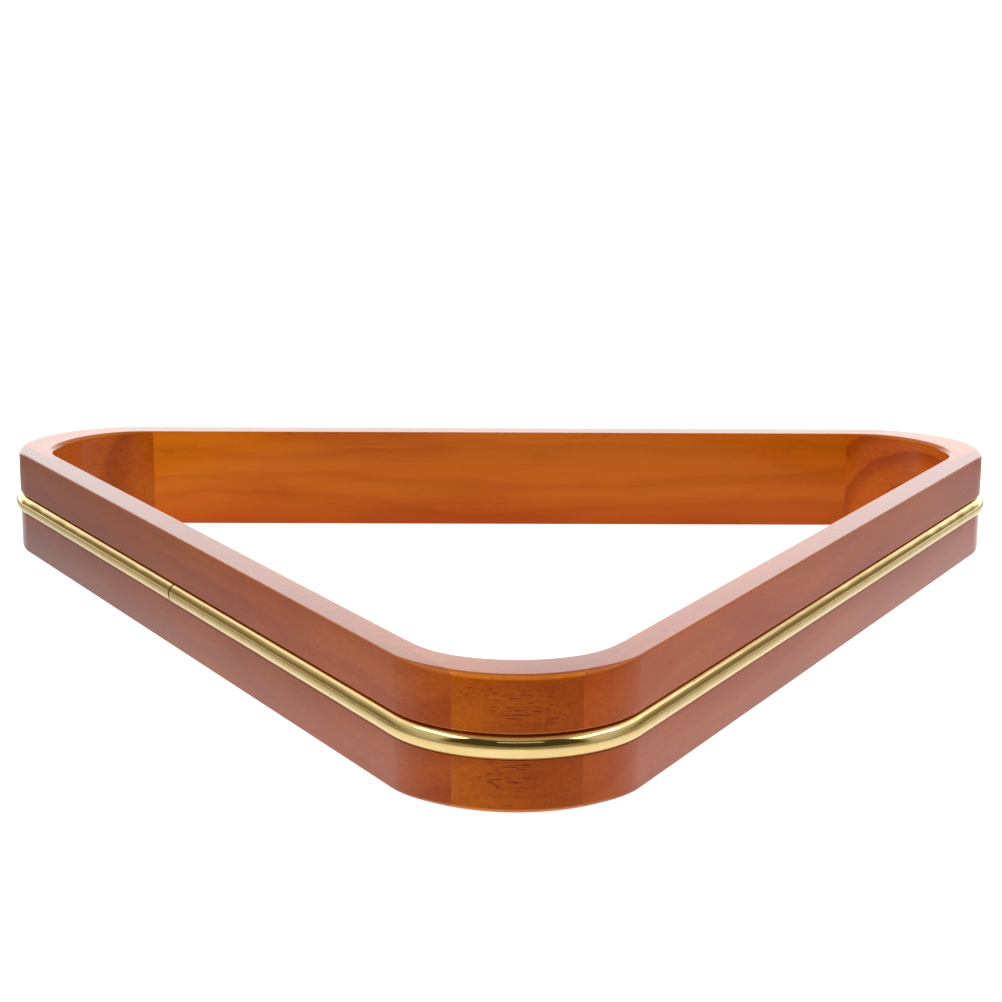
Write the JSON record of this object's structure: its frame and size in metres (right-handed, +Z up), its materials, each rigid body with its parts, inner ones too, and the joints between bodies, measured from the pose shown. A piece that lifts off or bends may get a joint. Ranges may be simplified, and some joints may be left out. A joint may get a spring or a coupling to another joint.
{
  "type": "triangle rack",
  "caption": "Open triangular wooden frame with rounded corners and an inlaid brass bead, lowered over billiard balls to rack them.",
  "frame": {"origin": "middle of the overall box in plan, at the bottom face that rests on the table", "axes": "+Z up out of the table; +Y towards the back rail, with the nose (head of the rack) at -Y; +X to the right seen from the nose, along the back rail"},
  "size_m": [0.3154, 0.2822, 0.0318],
  "materials": {
    "rail_wood": "reddish brown stain under satin clear lacquer, grain along the rail",
    "corner_wood": "same stain and lacquer, grain across the corner",
    "brass": "polished half-round strip"
  },
  "bodies": {
    "root": {"rail_back": "rail_wood", "rail_left": "rail_wood", "rail_right": "rail_wood", "corner_front": "corner_wood", "corner_left": "corner_wood", "corner_right": "corner_wood", "brass_bead": "brass"}
  },
  "joints": []
}
